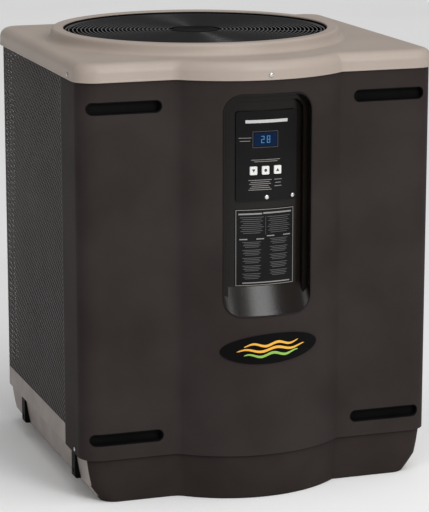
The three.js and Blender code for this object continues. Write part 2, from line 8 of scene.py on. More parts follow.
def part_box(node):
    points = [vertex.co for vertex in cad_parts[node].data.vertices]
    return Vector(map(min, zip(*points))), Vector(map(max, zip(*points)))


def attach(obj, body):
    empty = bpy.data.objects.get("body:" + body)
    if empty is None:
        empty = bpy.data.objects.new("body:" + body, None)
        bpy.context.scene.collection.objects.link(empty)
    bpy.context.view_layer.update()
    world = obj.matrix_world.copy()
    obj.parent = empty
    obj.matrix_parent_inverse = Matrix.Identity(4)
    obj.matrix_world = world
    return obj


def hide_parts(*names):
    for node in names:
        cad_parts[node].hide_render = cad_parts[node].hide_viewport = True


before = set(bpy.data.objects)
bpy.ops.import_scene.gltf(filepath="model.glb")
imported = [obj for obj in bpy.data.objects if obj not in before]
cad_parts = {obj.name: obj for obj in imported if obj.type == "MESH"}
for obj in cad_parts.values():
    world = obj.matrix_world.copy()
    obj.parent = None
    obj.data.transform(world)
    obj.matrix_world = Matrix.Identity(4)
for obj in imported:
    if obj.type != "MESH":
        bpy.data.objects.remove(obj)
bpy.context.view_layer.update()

# ---- the cabinet's plan outline, in metres, as in the CAD ---------------------------------------
SHELL_LOW, SHELL_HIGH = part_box("front_shell")
HALF = SHELL_HIGH.x
HALF_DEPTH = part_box("service_panel")[1].y
FRONT = -HALF_DEPTH
CORNER = 0.048
BULGE_X = -0.005
BULGE_R = 0.3
BULGE_Y = SHELL_LOW.y + BULGE_R
FILLET = 0.04
LEFT_END = -0.218
RIGHT_END = -0.315
BACK_SPLIT = 0.3
WALL = 0.004
GAP = 0.0005
PANEL_LOW, PANEL_HIGH = SHELL_LOW.z, SHELL_HIGH.z

wing_reach = BULGE_Y - FRONT
fillet_x = BULGE_X - math.sqrt((BULGE_R + FILLET) ** 2 - (wing_reach + FILLET) ** 2)
fillet_y = FRONT - FILLET
fillet_turn = math.atan2(BULGE_Y - fillet_y, BULGE_X - fillet_x)
corner_x = HALF - CORNER
corner_y = HALF_DEPTH - CORNER


def arc(x, y, r, start, end, steps):
    angles = [start + (end - start) * i / steps for i in range(steps + 1)]
    return [(x + r * math.cos(a), y + r * math.sin(a)) for a in angles]


def front_arcs(grow, pinch=0.0):
    """Front outline from the left side to the right side, moved outward by grow."""
    r = BULGE_R + grow
    reach = wing_reach + grow
    crease = -math.atan2(reach, math.sqrt(r * r - reach * reach))
    return [
        *arc(-corner_x + pinch, -corner_y, CORNER + grow, math.pi, 1.5 * math.pi, 14),
        *arc(fillet_x, fillet_y, FILLET - grow, math.pi / 2, fillet_turn, 8)[:-1],
        *arc(BULGE_X, BULGE_Y, r, fillet_turn - math.pi, crease, 56),
        *arc(corner_x - pinch, -corner_y, CORNER + grow, -math.pi / 2, 0, 14),
    ]


def outline(grow, pinch=0.0):
    return [
        *front_arcs(grow, pinch),
        *arc(corner_x - pinch, corner_y, CORNER + grow, 0, math.pi / 2, 14),
        *arc(-corner_x + pinch, corner_y, CORNER + grow, math.pi / 2, math.pi, 14),
    ]


def front_path(grow):
    return [(-HALF - grow, LEFT_END), *front_arcs(grow), (HALF + grow, RIGHT_END)]


def service_path(grow):
    corner = arc(corner_x, corner_y, CORNER + grow, 0, math.pi / 2, 14)
    return [(HALF + grow, RIGHT_END + GAP), *corner, (BACK_SPLIT + GAP, HALF_DEPTH + grow)]


def left_guard_path(grow):
    corner = arc(-corner_x, corner_y, CORNER + grow, math.pi / 2, math.pi, 10)
    return [(-BACK_SPLIT, HALF_DEPTH + grow), *corner, (-HALF - grow, LEFT_END + GAP)]


def rear_guard_path(grow):
    return [(BACK_SPLIT, HALF_DEPTH + grow), (-BACK_SPLIT + GAP, HALF_DEPTH + grow)]


# ---- mesh tools ---------------------------------------------------------------------------------
def new_object(name, verts, faces):
    mesh = bpy.data.meshes.new(name)
    mesh.from_pydata([tuple(v) for v in verts], [], faces)
    mesh.validate()
    obj = bpy.data.objects.new(name, mesh)
    bpy.context.scene.collection.objects.link(obj)
    return obj


def turn_outward(obj):
    bm = bmesh.new()
    bm.from_mesh(obj.data)
    bmesh.ops.recalc_face_normals(bm, faces=bm.faces)
    bm.to_mesh(obj.data)
    bm.free()
    return obj


def apply_modifiers(obj):
    bpy.context.view_layer.update()
    evaluated = obj.evaluated_get(bpy.context.evaluated_depsgraph_get())
    mesh = bpy.data.meshes.new_from_object(evaluated)
    obj.modifiers.clear()
    obj.data = mesh
    return obj


def combine(obj, other, operation="DIFFERENCE"):
    modifier = obj.modifiers.new("join", "BOOLEAN")
    modifier.object = other
    modifier.operation = operation
    modifier.solver = "EXACT"
    apply_modifiers(obj)
    bpy.data.objects.remove(other)
    return obj


def merge(name, objects):
    """One object that holds several closed meshes side by side."""
    verts, faces = [], []
    for obj in objects:
        start = len(verts)
        verts += [v.co[:] for v in obj.data.vertices]
        faces += [[start + i for i in p.vertices] for p in obj.data.polygons]
        bpy.data.objects.remove(obj)
    return new_object(name, verts, faces)


def soften(obj, width=0.001, segments=2, angle=35):
    """Rounds the edges and smooths the curved faces."""
    if width:
        bevel = obj.modifiers.new("bevel", "BEVEL")
        bevel.width = width
        bevel.segments = segments
        bevel.limit_method = "ANGLE"
        bevel.angle_limit = math.radians(angle)
        bevel.use_clamp_overlap = True
        apply_modifiers(obj)
    obj.data.shade_smooth()
    obj.data.set_sharp_from_angle(angle=math.radians(angle))
    if width:
        normals = obj.modifiers.new("normals", "WEIGHTED_NORMAL")
        normals.keep_sharp = True
        apply_modifiers(obj)
    return obj


def box_faces():
    """Faces of a box whose corners run once round the bottom and then once round the top."""
    return [[0, 3, 2, 1], [4, 5, 6, 7], [0, 1, 5, 4], [1, 2, 6, 5], [2, 3, 7, 6], [3, 0, 4, 7]]


def strip(name, path, thickness, z0, z1, recess=0.0):
    """A wall that follows a path in plan."""
    outer, inner = path(-recess), path(-recess - thickness)
    n = len(outer)
    rows = [(outer, z0), (outer, z1), (inner, z1), (inner, z0)]
    verts = [(x, y, z) for row, z in rows for x, y in row]
    faces = []
    for k in range(4):
        a, b = k * n, (k + 1) % 4 * n
        faces += [[a + i, a + i + 1, b + i + 1, b + i] for i in range(n - 1)]
    faces += [[0, n, 2 * n, 3 * n], [n - 1, 4 * n - 1, 3 * n - 1, 2 * n - 1]]
    return turn_outward(new_object(name, verts, faces))


def loft(name, levels, cap_bottom=True, cap_top=True):
    n = len(levels[0][1])
    verts = [(x, y, z) for z, ring in levels for x, y in ring]
    faces = []
    for level in range(len(levels) - 1):
        a = level * n
        faces += [[a + i, a + (i + 1) % n, a + n + (i + 1) % n, a + n + i] for i in range(n)]
    if cap_bottom:
        faces.append(list(range(n))[::-1])
    if cap_top:
        faces.append([len(verts) - n + i for i in range(n)])
    return new_object(name, verts, faces)


def turned(name, profile, centre, segments=96, closed=True):
    """A solid of revolution on a vertical axis from [radius, height] pairs in a closed loop."""
    verts, faces = [], []
    n = len(profile)
    for k in range(segments):
        a = 2 * math.pi * k / segments
        verts += [(centre.x + r * math.cos(a), centre.y + r * math.sin(a), z) for r, z in profile]
    for k in range(segments):
        a, b = k * n, (k + 1) % segments * n
        faces += [[a + i, b + i, b + (i + 1) % n, a + (i + 1) % n] for i in range(n if closed else n - 1)]
    if not closed:
        faces.append([k * n for k in range(segments)][::-1])
        faces.append([k * n + n - 1 for k in range(segments)])
    return turn_outward(new_object(name, verts, faces))


def columns_of(low, high, z_low, z_high, corner, steps=8):
    """Columns (x, lowest z, highest z) of a rectangle with rounded corners."""
    columns = []
    for i in range(steps + 1):
        a = math.pi / 2 * i / steps
        columns.append((low + corner * (1 - math.cos(a)), corner * (1 - math.sin(a))))
    spans = 10
    for i in range(1, spans):
        columns.append((low + corner + (high - low - 2 * corner) * i / spans, 0.0))
    for i in range(steps + 1):
        a = math.pi / 2 * (1 - i / steps)
        columns.append((high - corner * (1 - math.cos(a)), corner * (1 - math.sin(a))))
    return [(x, z_low + drop, z_high - drop) for x, drop in columns]


def bulge_y(x, radius):
    return BULGE_Y - math.sqrt(radius * radius - (x - BULGE_X) ** 2)


def column_solid(name, columns, front, back):
    """A closed plate from columns, between two surfaces given as functions of x."""
    verts = []
    for x, lo, hi in columns:
        verts += [(x, front(x), lo), (x, front(x), hi), (x, back(x), hi), (x, back(x), lo)]
    faces = [[0, 1, 2, 3], [len(verts) - 1, len(verts) - 2, len(verts) - 3, len(verts) - 4]]
    for i in range(len(columns) - 1):
        a, b = 4 * i, 4 * i + 4
        faces += [[a + k, a + (k + 1) % 4, b + (k + 1) % 4, b + k] for k in range(4)]
    return turn_outward(new_object(name, verts, faces))


def bent_plate(name, columns, inner, outer):
    return column_solid(name, columns, lambda x: bulge_y(x, outer), lambda x: bulge_y(x, inner))


def grown(rect, grow):
    low, high, z_low, z_high, corner = rect
    return columns_of(low - grow, high + grow, z_low - grow, z_high + grow, corner + grow)


# ---- materials ----------------------------------------------------------------------------------
def surface(name, color, other, roughness, grain=900.0, bump=0.15, metal=0.0, blotch=6.0,
            spread=0.08, stretch=(1.0, 1.0, 1.0), specular=0.5):
    """A moulded, painted or metal surface: soft blotches of two tones, fine grain and uneven gloss."""
    material = bpy.data.materials.new(name)
    material.use_nodes = True
    nodes, links = material.node_tree.nodes, material.node_tree.links
    shader = nodes["Principled BSDF"]
    shader.inputs["Metallic"].default_value = metal
    shader.inputs["Specular IOR Level"].default_value = specular
    place = nodes.new("ShaderNodeTexCoord")
    mapping = nodes.new("ShaderNodeMapping")
    mapping.inputs["Scale"].default_value = stretch
    links.new(place.outputs["Object"], mapping.inputs["Vector"])

    def noise(scale, detail):
        node = nodes.new("ShaderNodeTexNoise")
        node.inputs["Scale"].default_value = scale
        node.inputs["Detail"].default_value = detail
        links.new(mapping.outputs["Vector"], node.inputs["Vector"])
        return node

    soft, fine = noise(blotch, 4), noise(grain, 2)
    tones = nodes.new("ShaderNodeValToRGB")
    tones.color_ramp.elements[0].position = 0.35
    tones.color_ramp.elements[0].color = (*color, 1)
    tones.color_ramp.elements[1].position = 0.65
    tones.color_ramp.elements[1].color = (*other, 1)
    links.new(soft.outputs["Fac"], tones.inputs["Fac"])
    links.new(tones.outputs["Color"], shader.inputs["Base Color"])
    gloss = nodes.new("ShaderNodeMapRange")
    gloss.inputs["To Min"].default_value = roughness - spread
    gloss.inputs["To Max"].default_value = roughness + spread
    links.new(fine.outputs["Fac"], gloss.inputs["Value"])
    links.new(gloss.outputs["Result"], shader.inputs["Roughness"])
    relief = nodes.new("ShaderNodeBump")
    relief.inputs["Strength"].default_value = bump
    relief.inputs["Distance"].default_value = 0.0005
    links.new(fine.outputs["Fac"], relief.inputs["Height"])
    links.new(relief.outputs["Normal"], shader.inputs["Normal"])
    return material


# Specular level of the plastics that mirror hardly anything of the room.
DULL = 0.02

MATERIALS = {
    "beige": surface("beige_plastic", (0.315, 0.262, 0.224), (0.34, 0.284, 0.244), 0.46, bump=0.2,
                     specular=0.35),
    "brown": surface("brown_plastic", (0.0255, 0.0200, 0.0192), (0.0325, 0.0262, 0.0252), 0.5,
                     bump=0.3, specular=DULL),
    "gloss_brown": surface("control_plastic", (0.0055, 0.0042, 0.0036), (0.008, 0.006, 0.005), 0.2,
                           specular=0.2),
    "base": surface("base_plastic", (0.022, 0.0168, 0.0158), (0.029, 0.0225, 0.0212), 0.5,
                    bump=0.3, specular=DULL),
    # Painted light: a paler colour that stands in for floor light on the base's side and rear walls and on
    # the guards' low band.
    "painted_light_band": surface("painted_light_band_plastic", (0.22, 0.185, 0.168), (0.28, 0.24, 0.22), 0.5,
                         bump=0.4, blotch=14.0),
    "black": surface("black_plastic", (0.004, 0.0037, 0.0035), (0.007, 0.0065, 0.0065), 0.42, specular=DULL),
    "wire": surface("guard_wire_enamel", (0.003, 0.003, 0.0035), (0.005, 0.005, 0.006), 0.2, specular=0.35),
    "matte": surface("matte_black", (0.003, 0.003, 0.003), (0.005, 0.005, 0.005), 0.7, specular=0.04),
    "mesh": surface("guard_plastic", (0.036, 0.031, 0.0285), (0.05, 0.044, 0.041), 0.4, specular=0.12),
    "steel": surface("steel_screw", (0.55, 0.54, 0.52), (0.68, 0.67, 0.65), 0.3, metal=1.0),
    "galvanised": surface("galvanised_steel", (0.42, 0.43, 0.44), (0.55, 0.56, 0.57), 0.42,
                          metal=1.0, blotch=40.0),
    "fins": surface("aluminium_fins", (0.010, 0.010, 0.011), (0.018, 0.018, 0.019), 0.6,
                    metal=0.4, grain=500.0, bump=0.8, stretch=(1.0, 1.0, 0.02)),
    "copper": surface("copper", (0.62, 0.27, 0.15), (0.45, 0.17, 0.09), 0.34, metal=1.0, blotch=30.0),
    "paint": surface("black_paint", (0.009, 0.009, 0.010), (0.015, 0.015, 0.016), 0.38, specular=DULL),
    "white": surface("white_button", (0.60, 0.60, 0.585), (0.68, 0.68, 0.66), 0.4),
    "lens": surface("display_lens", (0.004, 0.012, 0.036), (0.006, 0.018, 0.055), 0.14,
                    bump=0.02, specular=DULL),
    "rubber": surface("rubber", (0.012, 0.012, 0.012), (0.02, 0.02, 0.02), 0.8),
    "plate": surface("printed_plate", (0.0065, 0.006, 0.006), (0.0095, 0.009, 0.009), 0.45,
                     bump=0.08, specular=0.06),
    "pale_print": surface("pale_print", (0.17, 0.165, 0.155), (0.22, 0.21, 0.20), 0.5),
    "title_print": surface("title_print", (0.45, 0.45, 0.44), (0.52, 0.52, 0.51), 0.45),
    "dim_print": surface("dim_print", (0.045, 0.045, 0.05), (0.065, 0.065, 0.07), 0.5),
    "blue_print": surface("blue_print", (0.04, 0.17, 0.36), (0.06, 0.22, 0.45), 0.3),
    "dark_print": surface("dark_print", (0.02, 0.02, 0.02), (0.03, 0.03, 0.03), 0.5),
    "amber": surface("amber_print", (0.75, 0.36, 0.03), (0.80, 0.46, 0.05), 0.35),
    "green": surface("green_print", (0.22, 0.42, 0.06), (0.28, 0.50, 0.08), 0.35),
}


def paint(obj, material):
    obj.data.materials.clear()
    obj.data.materials.append(MATERIALS[material])
    return obj


def place(obj, material, slot, replaces=(), body="cabinet"):
    """Paints a piece, puts it on its body, and hides the CAD nodes it stands for."""
    paint(obj, material)
    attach(obj, body)
    if replaces:
        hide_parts(*replaces)
    return obj


# ---- cabinet panels -----------------------------------------------------------------------------
BAY = (-0.11, 0.104, 0.43, 0.94, 0.044)
BAY_FLOOR = 0.271


def slot_cutter(node):
    low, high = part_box(node)
    low, high = low - Vector((GAP, 0, GAP)), high + Vector((GAP, 0, GAP))
    corner = (high.z - low.z) / 2 - 0.0005
    columns = columns_of(low.x, high.x, low.z, high.z, corner)
    return column_solid("slot_cutter", columns, lambda x: FRONT - 0.02, lambda x: FRONT + 0.035)


SLOT_LINERS = [f"slot_liner_{end}_{side}" for end in ("upper", "lower") for side in ("left", "right")]


def make_front_shell():
    shell = strip("front_shell_skin", front_path, WALL, PANEL_LOW, PANEL_HIGH)
    for node in SLOT_LINERS:
        combine(shell, slot_cutter(node))
    combine(shell, bent_plate("bay_cutter", grown(BAY, 0), 0.27, 0.33))
    place(soften(shell, 0.0012), "brown", "brown_plastic", ["front_shell"])


PORT_CLEARANCE = 0.003
GLAND_HOLE = 0.0136


def make_service_panel():
    panel = strip("service_panel_skin", service_path, WALL, PANEL_LOW, PANEL_HIGH)
    for node in ("water_inlet_union", "water_outlet_union", "conduit_gland"):
        low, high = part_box(node)
        middle = (low + high) / 2
        radius = GLAND_HOLE if node == "conduit_gland" else (high.z - low.z) / 2 + PORT_CLEARANCE
        cutter = turned("port_cutter", [(radius, 0.3), (radius, 0.6)], Vector((0, 0, 0)), 64, closed=False)
        lay_down = Matrix.Rotation(math.pi / 2, 4, "Y")
        cutter.data.transform(Matrix.Translation((0, middle.y, middle.z)) @ lay_down)
        combine(panel, cutter)
    place(soften(panel, 0.0012), "brown", "brown_plastic", ["service_panel"])


# Height, growth of the outline, and inward draw of the two sides.
BASE_LEVELS = [
    (0.0, -0.0125, 0.0365),
    (0.003, -0.0105, 0.036),
    (0.012, -0.0095, 0.0295),
    (0.02, -0.009, 0.024),
    (0.04, -0.007, 0.012),
    (0.056, -0.007, 0.0085),
    (0.075, -0.007, 0.005),
    (0.104, -0.007, 0.001),
]
DECK_LOW, DECK_HIGH = 0.058, 0.064


def make_base():
    base = loft("base_pan_skin", [(z, outline(g, p)) for z, g, p in BASE_LEVELS], cap_top=False)
    thick = base.modifiers.new("wall", "SOLIDIFY")
    thick.thickness = 0.005
    thick.offset = -1
    apply_modifiers(base)
    deck = loft("deck", [(z, outline(-0.016, 0.012)) for z in (DECK_LOW, DECK_HIGH)])
    base = merge("base_pan_skin", [base, deck])
    soften(base, 0.0015)
    place(base, "base", "base_plastic", ["base_pan"])
    # Painted light: the side and rear walls of the base get a paler colour that stands in for light thrown up
    # from the floor.
    base.data.materials.append(MATERIALS["painted_light_band"])
    for polygon in base.data.polygons:
        middle, normal = polygon.center, polygon.normal
        painted_light_side_wall = abs(normal.x) > 0.75 and abs(middle.x) > 0.36 and middle.y > -0.35
        painted_light_rear_wall = abs(normal.z) < 0.6 and middle.y > 0.32
        if painted_light_side_wall or painted_light_rear_wall:
            polygon.material_index = 1


# ---- coil guards --------------------------------------------------------------------------------
MESH_PITCH = 0.0135
STRAND = 0.0036
STRAND_DEPTH = 0.0012
BORDER = 0.012
KICK = 0.046
GUARD_RECESS = 0.002
GUARD_THICKNESS = 0.003
LAP = 0.002


def path_point(path, lengths, s):
    """The point at distance s along the path, and the outward direction there."""
    for i in range(len(path) - 1):
        if s <= lengths[i + 1] or i == len(path) - 2:
            t = (s - lengths[i]) / (lengths[i + 1] - lengths[i])
            (x0, y0), (x1, y1) = path[i], path[i + 1]
            length = math.hypot(x1 - x0, y1 - y0)
            normal = Vector(((y1 - y0) / length, -(x1 - x0) / length, 0))
            return Vector((x0 + (x1 - x0) * t, y0 + (y1 - y0) * t, 0)), normal


def strand(samples, path, lengths, depth):
    """One flat strand of the mesh through (distance along the path, height) samples."""
    verts, faces = [], []
    half = STRAND * 0.7
    back = depth + STRAND_DEPTH
    for s, z in samples:
        point, normal = path_point(path, lengths, s)
        for dz, d in ((-half, depth), (half, depth), (half, back), (-half, back)):
            verts.append(point - normal * d + Vector((0, 0, z + dz)))
    n = len(samples)
    for i in range(n - 1):
        faces += [[4 * i + k, 4 * i + (k + 1) % 4, 4 * i + 4 + (k + 1) % 4, 4 * i + 4 + k] for k in range(4)]
    faces += [[3, 2, 1, 0], [4 * n - 4, 4 * n - 3, 4 * n - 2, 4 * n - 1]]
    return verts, faces


def make_guard(name, path_of, node):
    """A diamond lattice of crossing strands, with a solid band below it and a thin border."""
    path = path_of(-GUARD_RECESS)
    lengths = [0.0]
    for (x0, y0), (x1, y1) in zip(path, path[1:]):
        lengths.append(lengths[-1] + math.hypot(x1 - x0, y1 - y0))
    total = lengths[-1]
    z0, z1 = PANEL_LOW + KICK, PANEL_HIGH - BORDER
    verts, faces = [], []
    for direction, depth in ((1, 0.0003), (-1, 0.0012)):
        count = int((total + z1 - z0) / MESH_PITCH)
        for k in range(1, count):
            start = z0 - total + k * MESH_PITCH if direction > 0 else z0 + k * MESH_PITCH
            s_low = max(0.0, (z0 - start) * direction) if direction > 0 else max(0.0, start - z1)
            s_high = min(total, z1 - start) if direction > 0 else min(total, start - z0)
            if s_high - s_low < MESH_PITCH:
                continue
            stops = [s_low, *[s for s in lengths if s_low < s < s_high], s_high]
            more, sides = strand([(s, start + direction * s) for s in stops], path, lengths, depth)
            faces += [[len(verts) + i for i in face] for face in sides]
            verts += more
    lattice = new_object("lattice", verts, faces)
    low = strip("low_rail", path_of, GUARD_THICKNESS, PANEL_LOW, z0 + LAP, GUARD_RECESS)
    high = strip("high_rail", path_of, GUARD_THICKNESS, z1 - LAP, PANEL_HIGH, GUARD_RECESS)
    posts = []
    post_width = 0.01
    for s in (0.0, total - post_width):
        corners = [path_point(path, lengths, min(max(t, 0), total)) for t in (s, s + post_width)]
        block = [point - normal * d + Vector((0, 0, z))
                 for z in (z0, z1) for point, normal in corners for d in (0.0, GUARD_THICKNESS)]
        posts.append(turn_outward(new_object("post", block, [
            [0, 1, 3, 2], [4, 6, 7, 5], [0, 2, 6, 4], [1, 5, 7, 3], [0, 4, 5, 1], [2, 3, 7, 6]])))
    guard = merge(name, [lattice, low, high, *posts])
    place(soften(guard, 0), "mesh", "guard_plastic", [node])
    # Painted light: the solid band below the lattice gets the same paler colour, carrying on the painted
    # light of the base's side wall.
    guard.data.materials.append(MATERIALS["painted_light_band"])
    for polygon in guard.data.polygons:
        if polygon.center.z < z0 - 0.003:
            polygon.material_index = 1


# ---- top cover and fan --------------------------------------------------------------------------
GUARD_LOW, GUARD_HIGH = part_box("fan_guard")
FAN_CENTRE = (GUARD_LOW + GUARD_HIGH) / 2
COVER_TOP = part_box("top_cover")[1].z
OPENING = 0.314
SHROUD_BOTTOM = 0.936
COVER_SKIRT = 0.971
DECK_TOP = 1.0135


def make_top_cover():
    shoulder, radius, side = 8, 0.0235, 0.005
    levels = [(COVER_SKIRT, side + 0.0003), (COVER_SKIRT + 0.0008, side + 0.001),
              (COVER_SKIRT + 0.0042, side + 0.001), (COVER_SKIRT + 0.0055, side), (DECK_TOP - radius, side)]
    for i in range(1, shoulder + 1):
        a = math.pi / 2 * i / shoulder
        levels.append((DECK_TOP - radius * (1 - math.sin(a)), side - radius * (1 - math.cos(a))))
    hood = loft("top_cover_skin", [(z, outline(g)) for z, g in levels], cap_bottom=False)
    thick = hood.modifiers.new("wall", "SOLIDIFY")
    thick.thickness = 0.0033
    thick.offset = -1
    apply_modifiers(hood)
    cutter = turned("hole", [(OPENING + 0.039, 0.9), (OPENING + 0.039, 1.1)], FAN_CENTRE, 128, closed=False)
    combine(hood, cutter)
    top = COVER_TOP
    foot, crown = OPENING + 0.044, OPENING + 0.029
    rise = []
    steps = 8
    for i in range(steps + 1):
        t = i / steps
        rise.append(((1 - t) ** 2 * foot + 2 * t * (1 - t) * (crown + 0.002) + t * t * crown,
                     (1 - t) ** 2 * DECK_TOP + 2 * t * (1 - t) * (DECK_TOP + 0.001) + t * t * (top - 0.006)))
    profile = [
        (foot, DECK_TOP - 0.014),
        *rise,
        (crown - 0.0015, top - 0.0025),
        (crown - 0.0045, top - 0.0006),
        (crown - 0.008, top),
        (OPENING + 0.005, top),
        (OPENING + 0.0017, top - 0.0008),
        (OPENING + 0.0002, top - 0.0035),
        (OPENING, SHROUD_BOTTOM),
        (OPENING + 0.003, SHROUD_BOTTOM),
        (OPENING + 0.0035, top - 0.0065),
        (OPENING + 0.022, top - 0.007),
        (OPENING + 0.037, DECK_TOP - 0.002),
        (OPENING + 0.037, DECK_TOP - 0.014),
    ]
    collar = turned("collar", profile, FAN_CENTRE, 160)
    cover = merge("top_cover_skin", [hood, collar])
    place(soften(cover, 0.0006, angle=40), "beige", "beige_plastic", ["top_cover"])
    # Painted shade: the upright inner wall of the throat below the lip is coloured matte black instead of the
    # cover's beige.
    cover.data.materials.append(MATERIALS["matte"])
    for polygon in cover.data.polygons:
        offset = polygon.center - FAN_CENTRE
        upright = abs(polygon.normal.z) < 0.5 and polygon.center.z < top - 0.004
        if upright and math.hypot(offset.x, offset.y) < OPENING + 0.0036:
            polygon.material_index = 1


def ring(name, radius, z, wire, segments=112, sides=8):
    turn = [2 * math.pi * k / sides for k in range(sides)]
    profile = [(radius + wire * math.cos(a), z + wire * math.sin(a)) for a in turn]
    return turned(name, profile, FAN_CENTRE, segments)


def bar(name, start, end, half_width, z0, z1):
    along = (end - start).normalized()
    across = Vector((-along.y, along.x, 0)) * half_width
    corners = (start - across, end - across, end + across, start + across)
    verts = [Vector((p.x, p.y, z)) for z in (z0, z1) for p in corners]
    return turn_outward(new_object(name, verts, box_faces()))


RIB_LOW, RIB_HIGH = 1.0262, 1.0302
WIRES = 25
RIBS = 12


def make_fan_guard():
    parts = []
    rim, hub = OPENING - 0.0048, 0.0545
    first, reach = hub + 0.012, rim - hub - 0.02
    for k in range(WIRES):
        parts.append(ring("wire", first + reach * k / (WIRES - 1), RIB_HIGH + 0.001, 0.0014))
    parts.append(ring("rim", rim, RIB_HIGH, 0.0026, 128))
    for k in range(RIBS):
        a = 2 * math.pi * k / RIBS + 0.13
        way = Vector((math.cos(a), math.sin(a), 0))
        start, end = FAN_CENTRE + way * (hub - 0.002), FAN_CENTRE + way * rim
        parts.append(bar("rib", start, end, 0.0017, RIB_LOW, RIB_HIGH))
    plate = [(0.001, RIB_LOW), (hub - 0.002, RIB_LOW), (hub, RIB_LOW + 0.001), (hub, RIB_HIGH + 0.0003),
             (hub - 0.002, RIB_HIGH + 0.0018), (hub - 0.014, RIB_HIGH + 0.0022),
             (hub - 0.017, RIB_HIGH + 0.001), (0.001, RIB_HIGH + 0.001)]
    parts.append(turned("hub_plate", plate, FAN_CENTRE, 96))
    guard = merge("fan_guard_wires", parts)
    place(soften(guard, 0), "wire", "black_plastic", ["fan_guard"])
    guard.data.materials.append(MATERIALS["matte"])
    for polygon in guard.data.polygons:
        offset = polygon.center - FAN_CENTRE
        if math.hypot(offset.x, offset.y) < hub + 0.001:
            polygon.material_index = 1


def make_fan_motor():
    """A motor housing with cooling grooves round it."""
    z0, z1 = SHROUD_BOTTOM, 1.0245
    wall, groove, pitch = 0.0655, 0.063, 0.008
    profile = [(0.008, z0), (0.05, z0), (0.06, z0 + 0.005), (wall, z0 + 0.012)]
    z = z0 + 0.02
    while z < z1 - 0.018:
        profile += [(wall, z), (groove, z + 0.001), (groove, z + 0.003), (wall, z + 0.004)]
        z += pitch
    profile += [(wall, z1 - 0.014), (0.058, z1 - 0.005), (0.02, z1), (0.008, z1)]
    motor = turned("fan_motor_housing", profile, FAN_CENTRE, 72)
    place(soften(motor, 0), "paint", "black_paint", ["fan_motor"])


BLADE_ROOT, BLADE_TIP = 0.050, 0.288
BLADE_HEIGHT = 0.906
BLADES = 4


def blade(angle):
    """A cambered blade that is steep at the hub and flat at the tip."""
    spans, chords = 14, 12
    verts, faces = [], []
    for side in (1, -1):
        for i in range(spans + 1):
            u = i / spans
            r = BLADE_ROOT + (BLADE_TIP - BLADE_ROOT) * u
            width = 0.036 + 0.058 * math.sin(math.pi * min(1.0, 0.25 + 0.62 * u))
            pitch = 0.62 - 0.30 * u
            for j in range(chords + 1):
                v = 2 * j / chords - 1
                chord = v * width
                trim = 1 - 0.05 * u * v * v
                turn = angle + chord * math.cos(pitch) / r + 0.12 * u
                z = BLADE_HEIGHT + chord * math.sin(pitch) + 0.006 * (1 - v * v) + side * 0.0013
                x = FAN_CENTRE.x + r * trim * math.cos(turn)
                y = FAN_CENTRE.y + r * trim * math.sin(turn)
                verts.append((x, y, z))
    row, half = chords + 1, (spans + 1) * (chords + 1)
    for i in range(spans):
        for j in range(chords):
            a = i * row + j
            faces.append([a, a + 1, a + row + 1, a + row])
            faces.append([half + a, half + a + row, half + a + row + 1, half + a + 1])
    rim = [*range(row), *[i * row + chords for i in range(1, spans + 1)],
           *[spans * row + j for j in range(chords - 1, -1, -1)], *[i * row for i in range(spans - 1, 0, -1)]]
    for a, b in zip(rim, rim[1:] + rim[:1]):
        faces.append([a, half + a, half + b, b])
    return turn_outward(new_object("blade", verts, faces))


def make_fan():
    profile = [(0.007, 0.884), (0.046, 0.884), (0.0505, 0.8865), (0.052, 0.892), (0.052, 0.930),
               (0.044, 0.930), (0.044, 0.892), (0.007, 0.892)]
    hub = turned("hub", profile, FAN_CENTRE, 72)
    fan = merge("fan_blades", [hub, *[blade(2 * math.pi * k / BLADES) for k in range(BLADES)]])
    place(soften(fan, 0), "black", "black_plastic", ["fan_impeller"], "fan")


# ---- control bay --------------------------------------------------------------------------------
def rect_of(node, corner):
    low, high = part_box(node)
    return (low.x, high.x, low.z, high.z, corner)


TUB_WALL = 0.003
TUB_RIM = 0.3015
SILL_FACE = 0.2995
SILL_TOP = 0.497
PLATE_FACE = 0.277
WINDOW_FACE = 0.2774
LABEL_FACE = 0.2735
BADGE_FACE = 0.303


def make_control_tub():
    tub = bent_plate("control_tub_skin", grown(BAY, -GAP), BAY_FLOOR - TUB_WALL, TUB_RIM)
    combine(tub, bent_plate("hollow", grown(BAY, -GAP - TUB_WALL), BAY_FLOOR, 0.312))
    flange = bent_plate("flange", grown(BAY, 0.009), 0.2915, 0.2952)
    combine(flange, bent_plate("hollow", grown(BAY, -0.001), 0.28, 0.312))
    sill_low = BAY[2] + TUB_WALL
    columns = [(x, max(low, sill_low), SILL_TOP) for x, low, high in grown(BAY, -GAP - 0.0028)]
    sill = bent_plate("sill", columns, BAY_FLOOR - 0.001, SILL_FACE)
    for vertex in sill.data.vertices:
        face = bulge_y(vertex.co.x, SILL_FACE)
        if vertex.co.z > SILL_TOP - 0.001 and abs(vertex.co.y - face) < 0.001:
            vertex.co.y = bulge_y(vertex.co.x, BAY_FLOOR)
    step = bent_plate("step", grown(BAY, -GAP - 0.0028), BAY_FLOOR - 0.001, BAY_FLOOR + 0.012)
    combine(step, bent_plate("hollow", grown(BAY, -0.017), BAY_FLOOR - 0.01, BAY_FLOOR + 0.02))
    tub = merge("control_tub_skin", [tub, flange, sill, step])
    place(soften(tub, 0.0013, 3), "gloss_brown", "brown_plastic", ["control_tub"])


def around(low, high, clearance, corner):
    return columns_of(low.x - clearance, high.x + clearance, low.z - clearance, high.z + clearance, corner)


